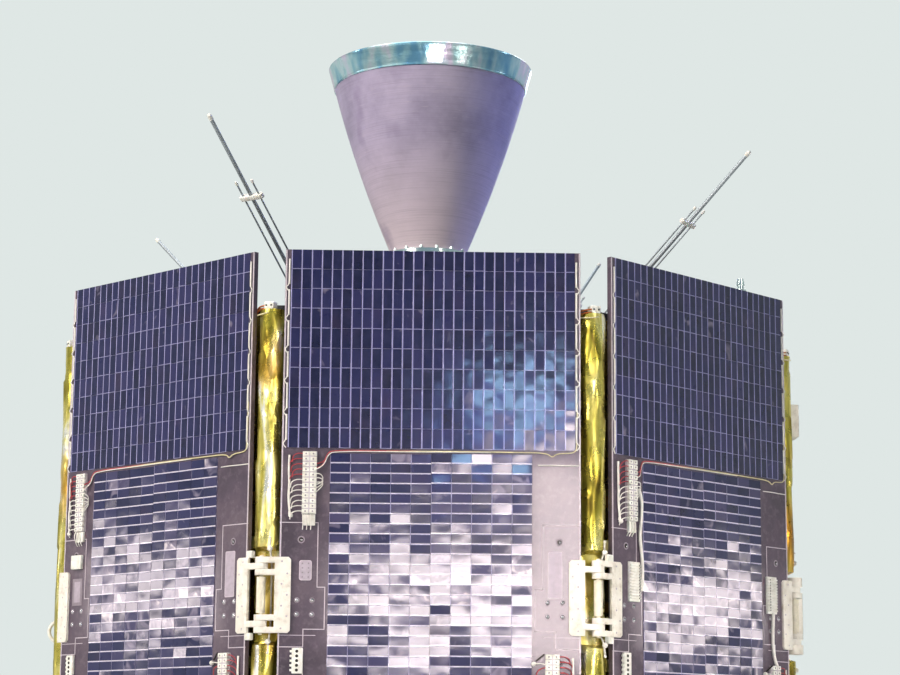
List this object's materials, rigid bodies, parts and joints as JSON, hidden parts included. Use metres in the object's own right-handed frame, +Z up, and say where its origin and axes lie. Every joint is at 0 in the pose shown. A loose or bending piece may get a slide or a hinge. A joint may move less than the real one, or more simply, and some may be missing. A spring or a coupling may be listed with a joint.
{
  "type": "satellite",
  "caption": "Octagonal spacecraft with wrap-round folding solar wings, motor nozzle on top, whip antennas and a bolted adapter ring below.",
  "frame": {"origin": "centre of the adapter ring's foot, in the plane of its bottom face", "axes": "+Z up along the motor's axis; -Y faces out of the front panel; +X is to the right seen from the front"},
  "size_m": [1.671, 1.652, 2.111],
  "materials": {
    "panel_skin": "satin mauve-grey carbon skin",
    "solar_cell": "dark blue cover glass on silicon",
    "board": "matt pale resin board",
    "white_paint": "semi-gloss white paint",
    "white_plastic": "matt white resin",
    "steel": "turned steel",
    "bare_aluminium": "milled, clear passivated",
    "gold_film": "crinkled gold-coloured metallised film",
    "black_paint": "matt black",
    "case_composite": "wound composite, matt",
    "nozzle_composite": "wound composite, matt, fine hoops",
    "polished_metal": "polished"
  },
  "bodies": {
    "bus": {"adapter_ring": "bare_aluminium", "antenna_feet": "bare_aluminium", "antenna_rods": "bare_aluminium", "antenna_spacers": "white_plastic", "antenna_whips": "bare_aluminium", "body_blanket": "gold_film", "boom_drive_pins": "steel", "boom_drives": "bare_aluminium", "corner_blocks": "white_plastic", "corner_columns_lower": "gold_film", "corner_columns_middle": "gold_film", "corner_columns_upper": "gold_film", "hold_down_posts": "bare_aluminium", "lower_deck": "bare_aluminium", "motor_case": "case_composite", "nozzle_cone": "nozzle_composite", "nozzle_lip": "polished_metal", "sensor_box": "white_paint", "tie_loops": "white_plastic", "upper_deck": "black_paint"},
    "right_boom": {"boom_right": "white_paint", "hinge_pin_boom_right": "steel"},
    "left_boom": {"boom_left": "white_paint", "hinge_pin_boom_left": "steel"},
    "front_right_wing_panel": {"cells_front_right": "solar_cell", "hinge_leaves_front_right": "white_paint", "hinge_pin_front_right": "steel", "panel_front_right": "panel_skin", "terminal_boards_front_right": "board"},
    "front_wing_panel": {"cells_front": "solar_cell", "hinge_leaves_front": "white_paint", "hinge_pin_front": "steel", "panel_front": "panel_skin", "terminal_boards_front": "board"},
    "front_left_wing_panel": {"cells_front_left": "solar_cell", "hinge_leaves_front_left": "white_paint", "panel_front_left": "panel_skin", "terminal_boards_front_left": "board"},
    "rear_left_wing_panel": {"cells_rear_left": "solar_cell", "hinge_leaves_rear_left": "white_paint", "hinge_pin_rear_left": "steel", "panel_rear_left": "panel_skin", "terminal_boards_rear_left": "board"},
    "rear_wing_panel": {"cells_rear": "solar_cell", "hinge_leaves_rear": "white_paint", "hinge_pin_rear": "steel", "panel_rear": "panel_skin", "terminal_boards_rear": "board"},
    "rear_right_wing_panel": {"cells_rear_right": "solar_cell", "hinge_leaves_rear_right": "white_paint", "panel_rear_right": "panel_skin", "terminal_boards_rear_right": "board"}
  },
  "joints": [
    {"name": "right_boom_pivot", "type": "hinge", "parent": "bus", "child": "right_boom", "pos_m": [0.811, 0, 0.77], "axis": [0, 0, 1], "range_deg": [0, 90]},
    {"name": "front_right_hinge", "type": "hinge", "parent": "right_boom", "child": "front_right_wing_panel", "pos_m": [0.80932, -0.33523, 0.77], "axis": [0, 0, 1], "range_deg": [0, 45]},
    {"name": "front_hinge", "type": "hinge", "parent": "front_right_wing_panel", "child": "front_wing_panel", "pos_m": [0.33523, -0.80932, 0.77], "axis": [0, 0, 1], "range_deg": [0, 45]},
    {"name": "front_left_hinge", "type": "hinge", "parent": "front_wing_panel", "child": "front_left_wing_panel", "pos_m": [-0.33523, -0.80932, 0.77], "axis": [0, 0, 1], "range_deg": [0, 45]},
    {"name": "left_boom_pivot", "type": "hinge", "parent": "bus", "child": "left_boom", "pos_m": [-0.811, 0, 0.77], "axis": [0, 0, 1], "range_deg": [0, 90]},
    {"name": "rear_left_hinge", "type": "hinge", "parent": "left_boom", "child": "rear_left_wing_panel", "pos_m": [-0.80932, 0.33523, 0.77], "axis": [0, 0, 1], "range_deg": [0, 45]},
    {"name": "rear_hinge", "type": "hinge", "parent": "rear_left_wing_panel", "child": "rear_wing_panel", "pos_m": [-0.33523, 0.80932, 0.77], "axis": [0, 0, 1], "range_deg": [0, 45]},
    {"name": "rear_right_hinge", "type": "hinge", "parent": "rear_wing_panel", "child": "rear_right_wing_panel", "pos_m": [0.33523, 0.80932, 0.77], "axis": [0, 0, 1], "range_deg": [0, 45]}
  ],
  "couplings": [
    {"joint": "front_right_hinge", "follows": "right_boom_pivot", "ratio": 0.5},
    {"joint": "front_hinge", "follows": "right_boom_pivot", "ratio": 0.5},
    {"joint": "front_left_hinge", "follows": "right_boom_pivot", "ratio": 0.5},
    {"joint": "rear_left_hinge", "follows": "left_boom_pivot", "ratio": 0.5},
    {"joint": "rear_hinge", "follows": "left_boom_pivot", "ratio": 0.5},
    {"joint": "rear_right_hinge", "follows": "left_boom_pivot", "ratio": 0.5}
  ]
}
